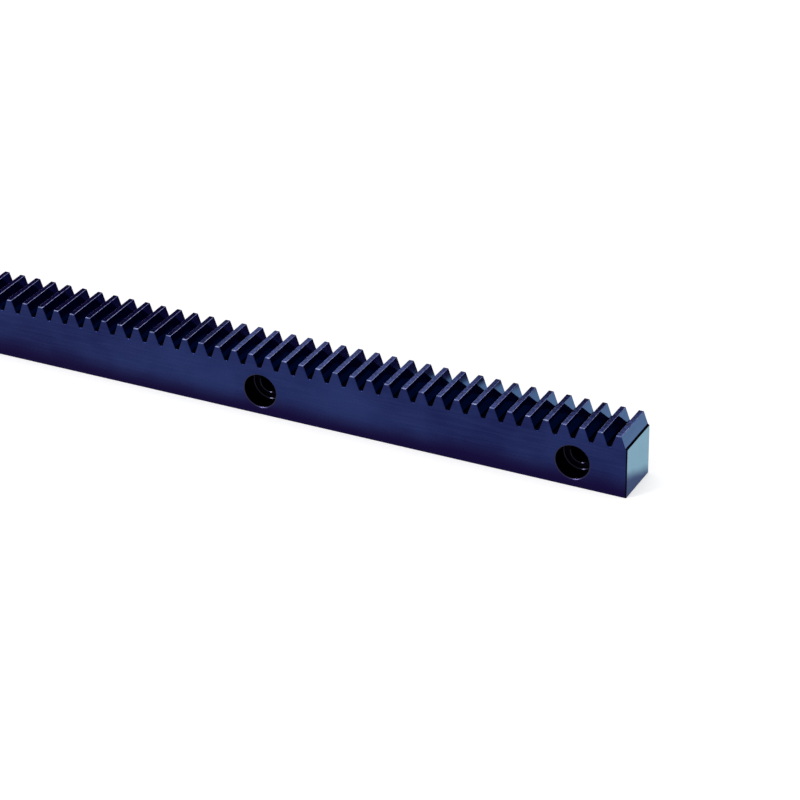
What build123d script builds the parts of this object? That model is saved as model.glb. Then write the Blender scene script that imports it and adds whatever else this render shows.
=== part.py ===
from build123d import *
import math
import os

os.makedirs("parts", exist_ok=True)

# Straight gear rack in one bar of steel, lying on its back edge with the teeth up.
# X runs along the bar, the screw heads go in on the -Y side, and Z is up.
# The origin is at the centre of the bottom face. All sizes are in millimetres.

# Tooth row: the standard 20 degree rack profile, with its proportions in modules.
circular_pitch = 5.0
tooth_count = 60
pressure_angle = 20.0
addendum_ratio = 1.0
dedendum_ratio = 1.25
root_radius_ratio = 0.30

# Bar: the width of the teeth, the height to their tips, and how far short of the middle
# of its last tooth space each end is cut, so that two racks butt without binding.
face_width = 15.0
bar_height = 17.5
end_relief = 0.1

# Screw holes: M5 socket head screws, sunk below the front face.
hole_spacing = 90.0
hole_end_distance = 15.0
hole_height = 7.0
counterbore_diameter = 9.5
counterbore_depth = 5.4
screw_hole_diameter = 5.5

# Broken edges, at 45 degrees.
edge_break = 0.15
mouth_break = 0.2

# How far a cutting shape runs past the surface that it opens.
overrun = 0.5

# Values that follow from the sizes above.
module = circular_pitch / math.pi
addendum = addendum_ratio * module
dedendum = dedendum_ratio * module
tooth_depth = addendum + dedendum
root_radius = root_radius_ratio * module
flank_slope = math.tan(math.radians(pressure_angle))
root_height = bar_height - tooth_depth
nominal_length = tooth_count * circular_pitch
bar_length = nominal_length - 2 * end_relief


def blank_bar():
    """The plain bar, cut to length, with its outer edges broken."""
    bar = Pos(0, 0, bar_height / 2) * Box(bar_length, face_width, bar_height)
    return chamfer(bar.edges(), edge_break)


def tooth_space():
    """The space between two teeth, centred on X = 0: a straight groove across the bar
    that opens out at 45 degrees where it meets the front and back faces."""
    half_at_pitch_line = circular_pitch / 4
    half_at_root = half_at_pitch_line - dedendum * flank_slope
    half_above_tips = half_at_pitch_line + (addendum + overrun) * flank_slope
    corners = Polyline(
        (-half_above_tips, bar_height + overrun),
        (-half_at_root, root_height),
        (half_at_root, root_height),
        (half_above_tips, bar_height + overrun),
        close=True,
    )
    section = make_face(corners)
    section = fillet(section.vertices().sort_by(Axis.Y)[:2], root_radius)
    groove = extrude(Plane.XZ * section, amount=face_width / 2 - edge_break, both=True)
    mouth_plane = Plane.XZ.offset(face_width / 2 - edge_break)
    mouth = extrude(mouth_plane * section, amount=edge_break + overrun, taper=-45)
    return groove + mouth + mirror(mouth, Plane.XZ)


def tooth_spaces():
    """Every tooth space of the row, with half a space at each end of the bar."""
    space = tooth_space()
    first_space = -nominal_length / 2
    return [Pos(first_space + i * circular_pitch, 0, 0) * space for i in range(tooth_count + 1)]


def screw_seat():
    """One counterbored screw hole, its axis along Y, with the front face at Y = 0."""
    head_radius = counterbore_diameter / 2
    shank_radius = screw_hole_diameter / 2
    half_section = Polyline(
        (0, -overrun),
        (head_radius + mouth_break + overrun, -overrun),
        (head_radius, mouth_break),
        (head_radius, counterbore_depth),
        (shank_radius + mouth_break, counterbore_depth),
        (shank_radius, counterbore_depth + mouth_break),
        (shank_radius, face_width - mouth_break),
        (shank_radius + mouth_break + overrun, face_width + overrun),
        (0, face_width + overrun),
        close=True,
    )
    return revolve(make_face(half_section), axis=Axis.Y)


def screw_seats():
    """The row of screw holes, centred on the length of the bar."""
    reach = nominal_length - 2 * hole_end_distance
    hole_count = int(reach / hole_spacing + 0.001) + 1
    first_hole = -(hole_count - 1) * hole_spacing / 2
    seat = screw_seat()
    front = -face_width / 2
    return [Pos(first_hole + i * hole_spacing, front, hole_height) * seat for i in range(hole_count)]


rack_bar = blank_bar() - screw_seats() - tooth_spaces()
export_step(rack_bar, "parts/rack_bar.step")
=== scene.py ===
import bmesh
import bpy
import math
from mathutils import Matrix, Vector


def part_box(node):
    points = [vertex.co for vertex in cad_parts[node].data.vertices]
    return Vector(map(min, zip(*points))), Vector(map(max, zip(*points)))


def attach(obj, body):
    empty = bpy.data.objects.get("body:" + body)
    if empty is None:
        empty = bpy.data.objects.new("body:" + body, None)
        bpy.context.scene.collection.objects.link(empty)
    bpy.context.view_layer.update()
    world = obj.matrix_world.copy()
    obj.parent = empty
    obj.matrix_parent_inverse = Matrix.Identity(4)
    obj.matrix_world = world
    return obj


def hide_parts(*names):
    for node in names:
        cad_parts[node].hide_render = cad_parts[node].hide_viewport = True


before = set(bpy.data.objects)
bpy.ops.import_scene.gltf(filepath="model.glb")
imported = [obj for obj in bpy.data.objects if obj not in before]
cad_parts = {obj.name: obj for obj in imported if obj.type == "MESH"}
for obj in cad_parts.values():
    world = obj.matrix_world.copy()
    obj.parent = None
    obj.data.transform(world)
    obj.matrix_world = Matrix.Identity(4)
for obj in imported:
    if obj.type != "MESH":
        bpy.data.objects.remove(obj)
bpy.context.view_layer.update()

# The camera stands to the right of the bar and above it, and looks down on the teeth and
# the front face from the photograph's angle. The bar runs on out of the frame at the left.
# The distance and the target are in metres, and the lens and the sensor in millimetres.
camera_azimuth = math.radians(26.62)
camera_elevation = math.radians(28.44)
camera_roll = math.radians(-0.755)
camera_distance = 0.8179
camera_target = Vector((0.0864, -0.0075, 0.01382))
lens_length = 142.38
sensor_width = 36.0
camera_data = bpy.data.cameras.new("camera")
camera_data.lens = lens_length
camera_data.sensor_width = sensor_width
camera = bpy.data.objects.new("camera", camera_data)
turn = Matrix.Rotation(camera_azimuth, 4, "Z")
turn = turn @ Matrix.Rotation(math.pi / 2 - camera_elevation, 4, "X")
turn = turn @ Matrix.Rotation(camera_roll, 4, "Z")
step_back = Matrix.Translation((0, 0, camera_distance))
camera.matrix_world = Matrix.Translation(camera_target) @ turn @ step_back
bpy.context.scene.collection.objects.link(camera)
bpy.context.scene.camera = camera
bpy.context.scene.view_settings.view_transform = "Standard"

# The rack bar: one rectangular bar of carbon steel. The tooth spaces are cut straight across
# its top with a form cutter, the screw holes are drilled and counterbored from the front,
# the outer edges are broken with a fine file, and the bar is then blued and oiled.
mm = 0.001
bar_low, bar_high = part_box("rack_bar")
bar_length, bar_width, bar_height = bar_high - bar_low
circular_pitch = 5.0 * mm
tooth_count = 60
pressure_angle = math.radians(20)
module = circular_pitch / math.pi
dedendum = 1.25 * module
tooth_depth = module + dedendum
root_level = bar_height - tooth_depth
root_width = circular_pitch / 2 - 2 * dedendum * math.tan(pressure_angle)
root_radius = 0.30 * module
screw_count = 4
screw_spacing = 90.0 * mm
screw_height = 7.0 * mm
head_seat_diameter = 9.5 * mm
head_seat_depth = 5.4 * mm
screw_hole_diameter = 5.5 * mm
rim_width = 0.2 * mm
drill_point = math.radians(118)


def new_finish(name):
    """A new material with an empty tree, to be filled with nodes."""
    finish = bpy.data.materials.new(name)
    finish.use_nodes = True
    finish.node_tree.nodes.clear()
    return finish


def add_node(tree, kind, inputs=None, **settings):
    """Adds a node, sets its settings, and links or sets its inputs.

    A node that is given as an input stands for the first of its outputs that is in use, and
    a list of nodes links them all to that input.
    """
    node = tree.nodes.new(kind)
    for name, value in settings.items():
        setattr(node, name, value)
    for key, value in (inputs or {}).items():
        for source in value if isinstance(value, list) else [value]:
            if isinstance(source, bpy.types.Node):
                source = next(output for output in source.outputs if output.enabled)
            if isinstance(source, bpy.types.NodeSocket):
                tree.links.new(source, node.inputs[key])
            else:
                node.inputs[key].default_value = source
    return node


def srgb(code):
    """A hex colour, such as 1f2a5c, as the linear colour that a shader takes."""
    channels = [int(code[i:i + 2], 16) / 255 for i in (0, 2, 4)]
    linear = [c / 12.92 if c <= 0.04045 else ((c + 0.055) / 1.055) ** 2.4 for c in channels]
    return (*linear, 1.0)


# Blued ground steel, on the long faces: the bar was ground lengthwise, so a hot bluing bath
# leaves a dark navy film over faint lengthwise lines. The film is cloudy. Towards the bottom
# edge it turns darker and violet: painted shade, for the shadowed floor that the face mirrors there.
ground_steel = new_finish("blued_ground_steel")
tree = ground_steel.node_tree
navy_film = srgb("181e48")
cloud_film = srgb("222d5a")
line_film = srgb("2f3867")
shaded_bottom_film = srgb("150d36")
cloud_size = 22 * mm
bottom_shade_start = 7.5 * mm
bottom_shade_end = 1.0 * mm
bottom_shade_drift = 1.5 * mm
line_length = 12 * mm
line_relief = 0.01 * mm
# Real grinding lines are about 0.05 mm apart, too fine to show, so these are drawn coarser.
line_spacing = 0.45 * mm
place = add_node(tree, "ShaderNodeTexCoord").outputs["Object"]
clouds = add_node(tree, "ShaderNodeTexNoise", {
    "Vector": place, "Scale": 1 / cloud_size, "Detail": 4.0}).outputs["Fac"]
lengthwise = add_node(tree, "ShaderNodeMapping", {
    "Vector": place, "Scale": (1 / line_length, 1 / line_spacing, 1 / line_spacing)})
lines = add_node(tree, "ShaderNodeTexNoise", {
    "Vector": lengthwise, "Scale": 1.0, "Detail": 3.0}).outputs["Fac"]
cloudy = add_node(tree, "ShaderNodeMapRange", {"Value": clouds, "From Min": 0.35, "From Max": 0.65})
film = add_node(tree, "ShaderNodeMix", {"Factor": cloudy, "A": navy_film, "B": cloud_film},
                data_type="RGBA")
lined = add_node(tree, "ShaderNodeMapRange", {
    "Value": lines, "From Min": 0.4, "From Max": 0.7, "To Max": 0.2})
film = add_node(tree, "ShaderNodeMix", {"Factor": lined, "A": film, "B": line_film},
                data_type="RGBA")
height = add_node(tree, "ShaderNodeSeparateXYZ", {"Vector": place}).outputs["Z"]
drift = add_node(tree, "ShaderNodeMapRange", {
    "Value": clouds, "To Min": -bottom_shade_drift, "To Max": bottom_shade_drift})
drifted = add_node(tree, "ShaderNodeMath", {0: height, 1: drift}, operation="ADD")
# Painted shade: the film darkens and turns violet towards the bottom edge.
bottom_shade = add_node(tree, "ShaderNodeMapRange", {
    "Value": drifted, "From Min": bottom_shade_start, "From Max": bottom_shade_end}, interpolation_type="SMOOTHSTEP")
film = add_node(tree, "ShaderNodeMix", {"Factor": bottom_shade, "A": film, "B": shaded_bottom_film},
                data_type="RGBA")
sheen = add_node(tree, "ShaderNodeMapRange", {"Value": lines, "To Min": 0.20, "To Max": 0.34})
relief = add_node(tree, "ShaderNodeBump", {"Strength": 0.25, "Distance": line_relief, "Height": lines})
shader = add_node(tree, "ShaderNodeBsdfPrincipled", {
    "Base Color": film, "Metallic": 1.0, "Roughness": sheen, "Normal": relief})
add_node(tree, "ShaderNodeOutputMaterial", {"Surface": shader})

# Blued tooth tops: the same ground surface, left between the tooth spaces. The cutter's burrs
# were filed off it, so it is speckled with small paler rubs.
top_steel = new_finish("blued_tooth_tops")
tree = top_steel.node_tree
top_film = srgb("080f46")
rubbed_film = srgb("334b96")
rub_size = 0.7 * mm
place = add_node(tree, "ShaderNodeTexCoord").outputs["Object"]
rubs = add_node(tree, "ShaderNodeTexNoise", {
    "Vector": place, "Scale": 1 / rub_size, "Detail": 2.0}).outputs["Fac"]
rubbed = add_node(tree, "ShaderNodeMapRange", {"Value": rubs, "From Min": 0.40, "From Max": 0.62})
film = add_node(tree, "ShaderNodeMix", {"Factor": rubbed, "A": top_film, "B": rubbed_film},
                data_type="RGBA")
sheen = add_node(tree, "ShaderNodeMapRange", {"Value": rubs, "To Min": 0.08, "To Max": 0.18})
shader = add_node(tree, "ShaderNodeBsdfPrincipled", {
    "Base Color": film, "Metallic": 1.0, "Roughness": sheen})
add_node(tree, "ShaderNodeOutputMaterial", {"Surface": shader})

# Blued tooth flanks: cut by a form cutter and smoother than the ground faces, so the bluing
# is thinner and shines steel-blue, with tool lines across the bar.
flank_steel = new_finish("blued_form_cut_flanks")
tree = flank_steel.node_tree
flank_film = srgb("2a4b73")
tool_line_film = srgb("395f8c")
line_length = 9 * mm
line_relief = 0.01 * mm
# Real tool lines are about 0.05 mm apart, too fine to show, so these are drawn coarser.
line_spacing = 0.4 * mm
place = add_node(tree, "ShaderNodeTexCoord").outputs["Object"]
crosswise = add_node(tree, "ShaderNodeMapping", {
    "Vector": place, "Scale": (1 / line_spacing, 1 / line_length, 1 / line_spacing)})
lines = add_node(tree, "ShaderNodeTexNoise", {
    "Vector": crosswise, "Scale": 1.0, "Detail": 2.0}).outputs["Fac"]
film = add_node(tree, "ShaderNodeMix", {"Factor": lines, "A": flank_film, "B": tool_line_film},
                data_type="RGBA")
sheen = add_node(tree, "ShaderNodeMapRange", {"Value": lines, "To Min": 0.04, "To Max": 0.08})
relief = add_node(tree, "ShaderNodeBump", {"Strength": 0.06, "Distance": line_relief, "Height": lines})
shader = add_node(tree, "ShaderNodeBsdfPrincipled", {
    "Base Color": film, "Metallic": 1.0, "Roughness": sheen, "Normal": relief})
add_node(tree, "ShaderNodeOutputMaterial", {"Surface": shader})

# Blued bores and tooth roots: left rough by the tools' tips, with faint marks of the tools'
# feed. Their near-black film and the dark tint of their shine are painted shade, for the inside of the
# holes and the tooth spaces.
bore_steel = new_finish("blued_bores_and_roots")
tree = bore_steel.node_tree
# Painted shade: kept near black, with a dark tint on the shine.
painted_shade_black = srgb("06040a")
feed_mark_black = srgb("100e1c")
bore_shade_tint = srgb("302838")
mark_relief = 0.03 * mm
# Real feed marks are about 0.1 mm apart, too fine to show, so these are drawn coarser.
mark_spacing = 0.6 * mm
# The spacing of a wave texture's bands at a scale of 1.
wave_spacing = math.pi / 10
place = add_node(tree, "ShaderNodeTexCoord").outputs["Object"]
marks = add_node(tree, "ShaderNodeTexWave", {
    "Vector": place, "Scale": wave_spacing / mark_spacing, "Distortion": 0.6},
    bands_direction="Y").outputs["Fac"]
film = add_node(tree, "ShaderNodeMix", {"Factor": marks, "A": painted_shade_black, "B": feed_mark_black},
                data_type="RGBA")
relief = add_node(tree, "ShaderNodeBump", {"Strength": 0.5, "Distance": mark_relief, "Height": marks})
shader = add_node(tree, "ShaderNodeBsdfPrincipled", {
    "Base Color": film, "Metallic": 1.0, "Roughness": 0.5, "Specular Tint": bore_shade_tint,
    "Normal": relief})
add_node(tree, "ShaderNodeOutputMaterial", {"Surface": shader})

# Deburred rims inside the holes: turned with the point of a large drill, so they are smooth,
# and flash where they meet the light. Their film is kept near black: painted shade inside the holes.
rim_steel = new_finish("blued_drilled_rims")
tree = rim_steel.node_tree
# Painted shade: a near-black film inside the holes.
rim_shade_film = srgb("171722")
shader = add_node(tree, "ShaderNodeBsdfPrincipled", {
    "Base Color": rim_shade_film, "Metallic": 1.0, "Roughness": 0.15})
add_node(tree, "ShaderNodeOutputMaterial", {"Surface": shader})

# Broken mouths: the same drill point, turned by hand where the screw heads go in, leaves a
# duller rim, and its film is paler than that of the rims inside.
mouth_steel = new_finish("blued_broken_mouths")
tree = mouth_steel.node_tree
mouth_film = srgb("2c2a42")
shader = add_node(tree, "ShaderNodeBsdfPrincipled", {
    "Base Color": mouth_film, "Metallic": 1.0, "Roughness": 0.28})
add_node(tree, "ShaderNodeOutputMaterial", {"Surface": shader})

# Milled ends: the stock is cut to length last and the ends are face milled, so they are bare
# steel under a thin pale blue film, with faint arcs from the cutter. A dark navy rises from the
# bottom edge, highest at the front corner: painted shade, for the shadowed floor that the end mirrors.
end_steel = new_finish("face_milled_end_steel")
tree = end_steel.node_tree
end_film = srgb("769ba3")
stain_film = srgb("80a5ad")
arc_film = srgb("8fb6c0")
shaded_corner_film = srgb("091b4c")
end_shine = srgb("dae7ff")
stain_size = 6 * mm
corner_shade_start = 8.6 * mm
corner_shade_end = 4.8 * mm
corner_shade_slope = 0.38
corner_shade_drift = 1.0 * mm
arc_centre = Vector((0, 6 * mm, -30 * mm))
arc_relief = 0.01 * mm
arc_share = 0.12
# Real cutter arcs are about 0.1 mm apart, too fine to show, so these are drawn coarser.
arc_spacing = 0.5 * mm
place = add_node(tree, "ShaderNodeTexCoord").outputs["Object"]
centred = add_node(tree, "ShaderNodeMapping", {"Vector": place, "Location": tuple(-arc_centre)})
arcs = add_node(tree, "ShaderNodeTexWave", {
    "Vector": centred, "Scale": wave_spacing / arc_spacing, "Distortion": 1.2, "Detail": 2.0},
    wave_type="RINGS", rings_direction="X").outputs["Fac"]
stain = add_node(tree, "ShaderNodeTexNoise", {
    "Vector": place, "Scale": 1 / stain_size, "Detail": 3.0}).outputs["Fac"]
film = add_node(tree, "ShaderNodeMix", {"Factor": stain, "A": end_film, "B": stain_film},
                data_type="RGBA")
faint_arcs = add_node(tree, "ShaderNodeMath", {0: arcs, 1: arc_share}, operation="MULTIPLY")
film = add_node(tree, "ShaderNodeMix", {"Factor": faint_arcs, "A": film, "B": arc_film},
                data_type="RGBA")
side = add_node(tree, "ShaderNodeSeparateXYZ", {"Vector": place}).outputs
# Painted shade: dark navy rising from the bottom edge, highest at the front corner.
fall = add_node(tree, "ShaderNodeMath", {0: side["Y"], 1: corner_shade_slope, 2: bar_width / 2 * corner_shade_slope},
                operation="MULTIPLY_ADD")
level = add_node(tree, "ShaderNodeMath", {0: side["Z"], 1: fall}, operation="ADD")
drift = add_node(tree, "ShaderNodeMapRange", {
    "Value": stain, "To Min": -corner_shade_drift, "To Max": corner_shade_drift})
drifted = add_node(tree, "ShaderNodeMath", {0: level, 1: drift}, operation="ADD")
corner_shade = add_node(tree, "ShaderNodeMapRange", {
    "Value": drifted, "From Min": corner_shade_start, "From Max": corner_shade_end}, interpolation_type="SMOOTHSTEP")
film = add_node(tree, "ShaderNodeMix", {"Factor": corner_shade, "A": film, "B": shaded_corner_film},
                data_type="RGBA")
relief = add_node(tree, "ShaderNodeBump", {"Strength": 0.2, "Distance": arc_relief, "Height": arcs})
shader = add_node(tree, "ShaderNodeBsdfPrincipled", {
    "Base Color": film, "Metallic": 1.0, "Roughness": 0.26, "Specular Tint": end_shine,
    "Normal": relief})
add_node(tree, "ShaderNodeOutputMaterial", {"Surface": shader})

# Filed edges: the file leaves the edges of the tooth tips bare, so the film there is thin, and
# handling has rubbed it through in places. Their pale colour is partly this wear and partly a painted
# highlight.
edge_steel = new_finish("filed_edge_steel")
tree = edge_steel.node_tree
edge_film = srgb("54609a")
worn_and_highlight_edge = srgb("a8b2de")
rub_size = 1.1 * mm
place = add_node(tree, "ShaderNodeTexCoord").outputs["Object"]
rubs = add_node(tree, "ShaderNodeTexNoise", {
    "Vector": place, "Scale": 1 / rub_size, "Detail": 3.0}).outputs["Fac"]
rubbed = add_node(tree, "ShaderNodeMapRange", {"Value": rubs, "From Min": 0.35, "From Max": 0.65})
# Partly painted highlight: the pale rubs stand for wear and for light caught on the edges.
film = add_node(tree, "ShaderNodeMix", {"Factor": rubbed, "A": edge_film, "B": worn_and_highlight_edge},
                data_type="RGBA")
shader = add_node(tree, "ShaderNodeBsdfPrincipled", {
    "Base Color": film, "Metallic": 1.0, "Roughness": 0.40})
add_node(tree, "ShaderNodeOutputMaterial", {"Surface": shader})

# The cutting: a plain ground blank, less the tooth spaces and the stepped screw holes. Each
# tool has the finish that it leaves on the faces it cuts, and runs past the blank by the
# overrun. The tops and the ends, which no tool here cuts, get theirs last.
overrun = 1.0 * mm
# Places that lie nearer than this count as the same.
hair = 0.01 * mm
cut_height = tooth_depth + overrun
stroke = bar_width / 2 + overrun
counterbore_length = head_seat_depth + overrun
point_slope = math.tan(drill_point / 2)
mouth_point_radius = head_seat_diameter / 2 + rim_width + overrun * point_slope
inner_point_radius = screw_hole_diameter / 2 + rim_width + overrun * point_slope
cutting_inputs = {
    "Bar Size": (bar_length, bar_width, bar_height),
    "Bar Middle": (0.0, 0.0, bar_height / 2),
    "Top Level": bar_height - hair,
    "End Reach": bar_length / 2 - hair,
    "Space Count": tooth_count + 1,
    "First Space": (-tooth_count * circular_pitch / 2, 0.0, root_level + cut_height / 2),
    "Pitch Step": (circular_pitch, 0.0, 0.0),
    "Cut Height": cut_height,
    "Opening Width": root_width + 2 * cut_height * math.tan(pressure_angle),
    "Root Width": root_width,
    "Root Radius": root_radius,
    "Root Corner Steps": 5,
    "Root Top": root_radius - cut_height / 2,
    "Stroke Start": (0.0, -stroke, 0.0),
    "Stroke End": (0.0, stroke, 0.0),
    "Screw Count": screw_count,
    "First Screw": (-(screw_count - 1) * screw_spacing / 2, 0.0, screw_height),
    "Screw Step": (screw_spacing, 0.0, 0.0),
    "Round Sides": 96,
    "Lying": (math.pi / 2, 0.0, 0.0),
    "Pointing Back": (-math.pi / 2, 0.0, 0.0),
    "Screw Hole Radius": screw_hole_diameter / 2,
    "Drill Length": 2 * stroke,
    "Head Seat Radius": head_seat_diameter / 2,
    "Counterbore Length": counterbore_length,
    "Counterbore Middle": (0.0, counterbore_length / 2 - stroke, 0.0),
    "Mouth Point Radius": mouth_point_radius,
    "Mouth Point Length": mouth_point_radius / point_slope,
    "Mouth Point Start": (0.0, -bar_width / 2 - overrun, 0.0),
    "Inner Point Radius": inner_point_radius,
    "Inner Point Length": inner_point_radius / point_slope,
    "Inner Point Start": (0.0, -bar_width / 2 + head_seat_depth - overrun, 0.0),
    "Faces": ground_steel,
    "Tops": top_steel,
    "Ends": end_steel,
    "Flanks": flank_steel,
    "Bores": bore_steel,
    "Rims": rim_steel,
    "Mouths": mouth_steel,
}
socket_kinds = {
    tuple: "NodeSocketVector", int: "NodeSocketInt", float: "NodeSocketFloat",
    bpy.types.Material: "NodeSocketMaterial"}
cutting = bpy.data.node_groups.new("cut_rack_bar", "GeometryNodeTree")
cutting.interface.new_socket("Geometry", in_out="INPUT", socket_type="NodeSocketGeometry")
for name, value in cutting_inputs.items():
    cutting.interface.new_socket(name, in_out="INPUT", socket_type=socket_kinds[type(value)])
cutting.interface.new_socket("Geometry", in_out="OUTPUT", socket_type="NodeSocketGeometry")
given = add_node(cutting, "NodeGroupInput").outputs

blank = add_node(cutting, "GeometryNodeMeshCube", {"Size": given["Bar Size"]})
blank = add_node(cutting, "GeometryNodeTransform", {
    "Geometry": blank, "Translation": given["Bar Middle"]})
blank = add_node(cutting, "GeometryNodeSetMaterial", {"Geometry": blank, "Material": given["Faces"]})

# The spot that is tested below: a corner of a curve, or the middle of a face.
position = add_node(cutting, "GeometryNodeInputPosition")
spot = add_node(cutting, "ShaderNodeSeparateXYZ", {"Vector": position}).outputs

# The form cutter: a trapezoid with rounded root corners, swept across the bar.
trapezoid = add_node(cutting, "GeometryNodeCurvePrimitiveQuadrilateral", {
    "Height": given["Cut Height"], "Bottom Width": given["Opening Width"],
    "Top Width": given["Root Width"], "Offset": 0.0}, mode="TRAPEZOID")
at_root = add_node(cutting, "FunctionNodeCompare", {"A": spot["Y"], "B": 0.0},
                   operation="GREATER_THAN")
rounding = add_node(cutting, "ShaderNodeMath", {0: at_root, 1: given["Root Radius"]},
                    operation="MULTIPLY")
rounded = add_node(cutting, "GeometryNodeFilletCurve", {
    "Curve": trapezoid, "Count": given["Root Corner Steps"], "Radius": rounding}, mode="POLY")
crossing = add_node(cutting, "GeometryNodeCurvePrimitiveLine", {
    "Start": given["Stroke Start"], "End": given["Stroke End"]})
space = add_node(cutting, "GeometryNodeCurveToMesh", {
    "Curve": crossing, "Profile Curve": rounded, "Fill Caps": True})
space = add_node(cutting, "GeometryNodeSetMaterial", {"Geometry": space, "Material": given["Flanks"]})
in_root = add_node(cutting, "FunctionNodeCompare", {"A": spot["Z"], "B": given["Root Top"]},
                   operation="LESS_THAN")
space = add_node(cutting, "GeometryNodeSetMaterial", {
    "Geometry": space, "Selection": in_root, "Material": given["Bores"]})
space_places = add_node(cutting, "GeometryNodeMeshLine", {
    "Count": given["Space Count"], "Start Location": given["First Space"],
    "Offset": given["Pitch Step"]})
spaces = add_node(cutting, "GeometryNodeInstanceOnPoints", {"Points": space_places, "Instance": space})

# The drill, right through, the counterbore, from the front, and the point of a larger drill
# that breaks the front rims of both.
drill = add_node(cutting, "GeometryNodeMeshCylinder", {
    "Vertices": given["Round Sides"], "Radius": given["Screw Hole Radius"],
    "Depth": given["Drill Length"]})
drill = add_node(cutting, "GeometryNodeTransform", {"Geometry": drill, "Rotation": given["Lying"]})
counterbore = add_node(cutting, "GeometryNodeMeshCylinder", {
    "Vertices": given["Round Sides"], "Radius": given["Head Seat Radius"],
    "Depth": given["Counterbore Length"]})
counterbore = add_node(cutting, "GeometryNodeTransform", {
    "Geometry": counterbore, "Rotation": given["Lying"], "Translation": given["Counterbore Middle"]})
tools = [(drill, "Bores"), (counterbore, "Bores")]
for name, finish in (("Mouth Point", "Mouths"), ("Inner Point", "Rims")):
    point = add_node(cutting, "GeometryNodeMeshCone", {
        "Vertices": given["Round Sides"], "Radius Bottom": given[name + " Radius"],
        "Depth": given[name + " Length"]})
    point = add_node(cutting, "GeometryNodeTransform", {
        "Geometry": point, "Rotation": given["Pointing Back"], "Translation": given[name + " Start"]})
    tools.append((point, finish))
screw_places = add_node(cutting, "GeometryNodeMeshLine", {
    "Count": given["Screw Count"], "Start Location": given["First Screw"],
    "Offset": given["Screw Step"]})
holes = []
for tool, finish in tools:
    tool = add_node(cutting, "GeometryNodeSetMaterial", {"Geometry": tool, "Material": given[finish]})
    hole = add_node(cutting, "GeometryNodeInstanceOnPoints", {"Points": screw_places, "Instance": tool})
    holes.append(hole)

bar = add_node(cutting, "GeometryNodeMeshBoolean", {"Mesh 1": blank, "Mesh 2": [spaces] + holes},
               operation="DIFFERENCE", solver="EXACT")
bar = add_node(cutting, "GeometryNodeRealizeInstances", {"Geometry": bar})

# The tooth tops and the ends are what is left of the blank's top and ends.
on_top = add_node(cutting, "FunctionNodeCompare", {"A": spot["Z"], "B": given["Top Level"]},
                  operation="GREATER_THAN")
bar = add_node(cutting, "GeometryNodeSetMaterial", {
    "Geometry": bar, "Selection": on_top, "Material": given["Tops"]})
endways = add_node(cutting, "ShaderNodeMath", {0: spot["X"]}, operation="ABSOLUTE")
on_end = add_node(cutting, "FunctionNodeCompare", {"A": endways, "B": given["End Reach"]},
                  operation="GREATER_THAN")
bar = add_node(cutting, "GeometryNodeSetMaterial", {
    "Geometry": bar, "Selection": on_end, "Material": given["Ends"]})
add_node(cutting, "NodeGroupOutput", {"Geometry": bar})

rack = bpy.data.objects.new("rack_bar_cutting", bpy.data.meshes.new("rack_bar_blank"))
bpy.context.scene.collection.objects.link(rack)
cut = rack.modifiers.new("cut", "NODES")
cut.node_group = cutting
for item in cutting.interface.items_tree:
    if item.in_out == "INPUT" and item.name in cutting_inputs:
        cut[item.identifier] = cutting_inputs[item.name]
evaluated = bpy.context.evaluated_depsgraph_get()
cut_mesh = bpy.data.meshes.new_from_object(rack.evaluated_get(evaluated), depsgraph=evaluated)
bpy.data.objects.remove(rack)

# The tools leave an empty first slot, which no face uses.
cut_mesh.materials.pop(index=0)

# The counterbore's worn teeth leave a small slope in the corner of each head seat, as steep
# as the drill point. The file then breaks the outer edges: the upright edges of the ends
# most, and the top edges of the ends least.
end_break = 0.30 * mm
outer_break = 0.15 * mm
tip_break = 0.07 * mm
tip_end_break = 0.20 * mm
end_top_break = 0.05 * mm
sharp_angle = math.radians(25)
filed_angle = math.radians(35)


def from_screw(point):
    """How far a point lies from the nearest screw hole's axis."""
    nearest = round(point.x / screw_spacing + (screw_count - 1) / 2) - (screw_count - 1) / 2
    return math.hypot(point.x - nearest * screw_spacing, point.z - screw_height)


bar_edges = bmesh.new()
bar_edges.from_mesh(cut_mesh)
seat_level = -bar_width / 2 + head_seat_depth
seat_corners = [edge for edge in bar_edges.edges if all(
    abs(end.co.y - seat_level) < hair and abs(from_screw(end.co) - head_seat_diameter / 2) < hair
    for end in edge.verts)]
slopes = bmesh.ops.bevel(
    bar_edges, geom=seat_corners, offset=rim_width, segments=1, affect="EDGES",
    material=cut_mesh.materials.find(rim_steel.name))
for end in slopes["verts"]:
    if end.co.y < seat_level - hair:
        end.co.y = seat_level - rim_width / point_slope
break_share = bar_edges.edges.layers.float.new("bevel_weight_edge")
for edge in bar_edges.edges:
    edge.smooth = edge.calc_face_angle(0.0) < sharp_angle
    if edge.calc_face_angle(0.0) < filed_angle:
        continue
    middle = (edge.verts[0].co + edge.verts[1].co) / 2
    run = edge.verts[0].co - edge.verts[1].co
    inside_faces = abs(middle.y) < bar_width / 2 - hair
    if from_screw(middle) < head_seat_diameter / 2 + rim_width + hair:
        width = 0
    elif middle.z > bar_height - hair:
        width = tip_break if inside_faces else tip_end_break
    elif inside_faces and middle.z > root_level - hair:
        width = end_top_break
    elif abs(middle.x) > bar_length / 2 - hair and abs(run.z) > abs(run.y):
        width = end_break
    else:
        width = outer_break
    edge[break_share] = width / end_break
bar_edges.to_mesh(cut_mesh)
bar_edges.free()
cut_mesh.materials.append(edge_steel)
cut_mesh.polygons.foreach_set("use_smooth", [True] * len(cut_mesh.polygons))

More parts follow.
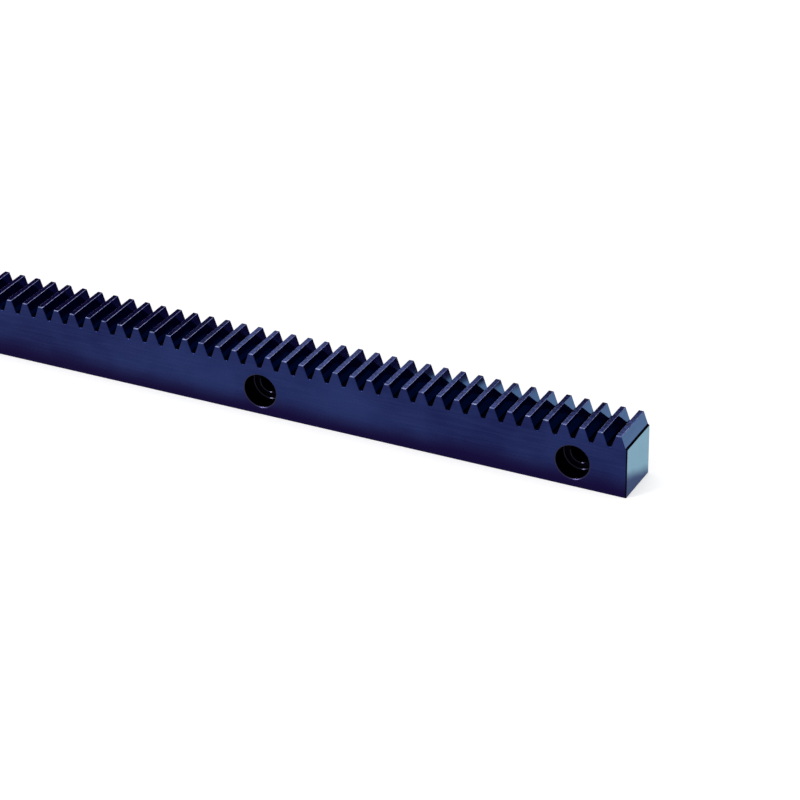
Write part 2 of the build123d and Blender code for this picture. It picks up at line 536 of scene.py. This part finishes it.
filed = bpy.data.objects.new("rack_bar_filing", cut_mesh)
bpy.context.scene.collection.objects.link(filed)
filing = filed.modifiers.new("break_edges", "BEVEL")
filing.limit_method = "WEIGHT"
filing.width = end_break
filing.segments = 2
filing.use_clamp_overlap = False
filing.material = len(cut_mesh.materials) - 1
flats = filed.modifiers.new("keep_faces_flat", "WEIGHTED_NORMAL")
flats.weight = 100
flats.keep_sharp = True
evaluated = bpy.context.evaluated_depsgraph_get()
filed_mesh = bpy.data.meshes.new_from_object(filed.evaluated_get(evaluated), depsgraph=evaluated)
filed_mesh.name = "blued_rack_bar"
bpy.data.objects.remove(filed)

# Only the tooth tips keep the pale filed edges, worn and with a painted highlight. The edges of
# the cut-off ends get the near-black bore film, painted shade, and the others keep the film of the long
# faces.
edge_index = filed_mesh.materials.find(edge_steel.name)
ground_index = filed_mesh.materials.find(ground_steel.name)
bore_index = filed_mesh.materials.find(bore_steel.name)
for face in filed_mesh.polygons:
    if face.material_index != edge_index or face.center.z > bar_height - tip_end_break:
        continue
    at_end = abs(face.center.x) > bar_length / 2 - end_break
    face.material_index = bore_index if at_end else ground_index

blued_rack_bar = bpy.data.objects.new("blued_rack_bar", filed_mesh)
bpy.context.scene.collection.objects.link(blued_rack_bar)
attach(blued_rack_bar, "root")
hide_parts("rack_bar")

# The floor: a plain white studio floor. It looks white to the camera and in the metal, and
# it keeps the bar's shadow. It lies a little under the bar, so that the two faces don't mix.
floor_reach = 20.0
floor_level = -0.02 * mm
floor_glow = 0.5
floor_mesh = bpy.data.meshes.new("floor")
floor_mesh.from_pydata([
    (-floor_reach, -floor_reach, floor_level), (floor_reach, -floor_reach, floor_level),
    (floor_reach, floor_reach, floor_level), (-floor_reach, floor_reach, floor_level)],
    [], [(0, 1, 2, 3)])
floor = bpy.data.objects.new("floor", floor_mesh)
bpy.context.scene.collection.objects.link(floor)


def shown_rays(tree):
    """1 on the rays that show the studio, straight or in metal and glass, and 0 on the others."""
    ray = add_node(tree, "ShaderNodeLightPath").outputs
    shown = add_node(tree, "ShaderNodeMath", {0: ray["Is Camera Ray"], 1: ray["Is Glossy Ray"]},
                     operation="MAXIMUM")
    return add_node(tree, "ShaderNodeMath", {0: shown, 1: ray["Is Transmission Ray"]},
                    operation="MAXIMUM")


floor_paint = new_finish("white_floor")
tree = floor_paint.node_tree
paint = add_node(tree, "ShaderNodeBsdfDiffuse", {"Color": srgb("e7e7e7")})
strength = add_node(tree, "ShaderNodeMath", {0: shown_rays(tree), 1: floor_glow}, operation="MULTIPLY")
glow = add_node(tree, "ShaderNodeEmission", {"Color": srgb("ffffff"), "Strength": strength})
both = add_node(tree, "ShaderNodeAddShader", {0: paint, 1: glow})
add_node(tree, "ShaderNodeOutputMaterial", {"Surface": both})
floor_mesh.materials.append(floor_paint)

# A dark card stands behind the bar, as it does when polished metal is photographed. The
# camera doesn't see it, but the metal mirrors it, so the tooth spaces stay dark. Each place
# along its foot, from left to right, is given with the card's height there, in metres.
card_places = [
    (-0.5, 0.183, 0.16), (-0.11, 0.144, 0.16), (-0.038, 0.1368, 0.089), (0.03, 0.13, 0.0885),
    (0.06, 0.127, 0.0925), (0.092, 0.1238, 0.0955), (0.097, 0.1234, 0.087), (0.6, 0.062, 0.087)]
card_foot = [(x, y, 0) for x, y, top in card_places]
top_row = len(card_places)
card_mesh = bpy.data.meshes.new("dark_card")
card_mesh.from_pydata(card_foot + card_places, [], [
    (i, i + 1, top_row + i + 1, top_row + i) for i in range(top_row - 1)])
card = bpy.data.objects.new("dark_card", card_mesh)
bpy.context.scene.collection.objects.link(card)
card_paper = new_finish("matt_plum_card")
tree = card_paper.node_tree
shader = add_node(tree, "ShaderNodeBsdfPrincipled", {
    "Base Color": srgb("3e1650"), "Roughness": 1.0})
add_node(tree, "ShaderNodeOutputMaterial", {"Surface": shader})
card_mesh.materials.append(card_paper)
card.visible_camera = False
card.visible_shadow = False

# A narrow flag of the same card hangs in front of the bar, above the teeth. It keeps the
# strip lamp off the tooth tops, and the lamp still shines under it into the screw holes.
flag_distance = 27.5 * mm
flag_bottom = 28 * mm
flag_top = 47 * mm
flag_left = -200 * mm
flag_right = 150 * mm
flag_mesh = bpy.data.meshes.new("dark_flag")
flag_mesh.from_pydata([
    (flag_left, -flag_distance, flag_bottom), (flag_right, -flag_distance, flag_bottom),
    (flag_right, -flag_distance, flag_top), (flag_left, -flag_distance, flag_top)], [], [(0, 1, 2, 3)])
flag = bpy.data.objects.new("dark_flag", flag_mesh)
bpy.context.scene.collection.objects.link(flag)
flag_mesh.materials.append(card_paper)
flag.visible_camera = False

# The studio light: an even white room, a large softbox high behind the bar, and a strip lamp
# in front of it to the left. The room shows white, and lights the bar a little less.
room_light = 0.65
world = bpy.data.worlds.new("studio")
bpy.context.scene.world = world
world.use_nodes = True
tree = world.node_tree
tree.nodes.clear()
strength = add_node(tree, "ShaderNodeMapRange", {
    "Value": shown_rays(tree), "To Min": room_light, "To Max": 1.0})
room = add_node(tree, "ShaderNodeBackground", {"Color": srgb("ffffff"), "Strength": strength})
add_node(tree, "ShaderNodeOutputWorld", {"Surface": room})


def add_softbox(name, position, width, height, power):
    """One soft studio lamp, aimed at the bar and hidden from the camera: metres and watts."""
    aim = Vector((0.05, 0, 0))
    data = bpy.data.lights.new(name, "AREA")
    data.shape = "RECTANGLE"
    data.size = width
    data.size_y = height
    data.energy = power
    lamp = bpy.data.objects.new(name, data)
    lamp.location = position
    lamp.rotation_euler = (Vector(position) - aim).to_track_quat("Z", "Y").to_euler()
    lamp.visible_camera = False
    bpy.context.scene.collection.objects.link(lamp)


add_softbox("softbox_key", position=(-0.8, 1.6, 3.9), width=4.0, height=4.0, power=42)
add_softbox("softbox_front", position=(-2.3, -2.76, 1.8), width=1.3, height=0.3, power=82)
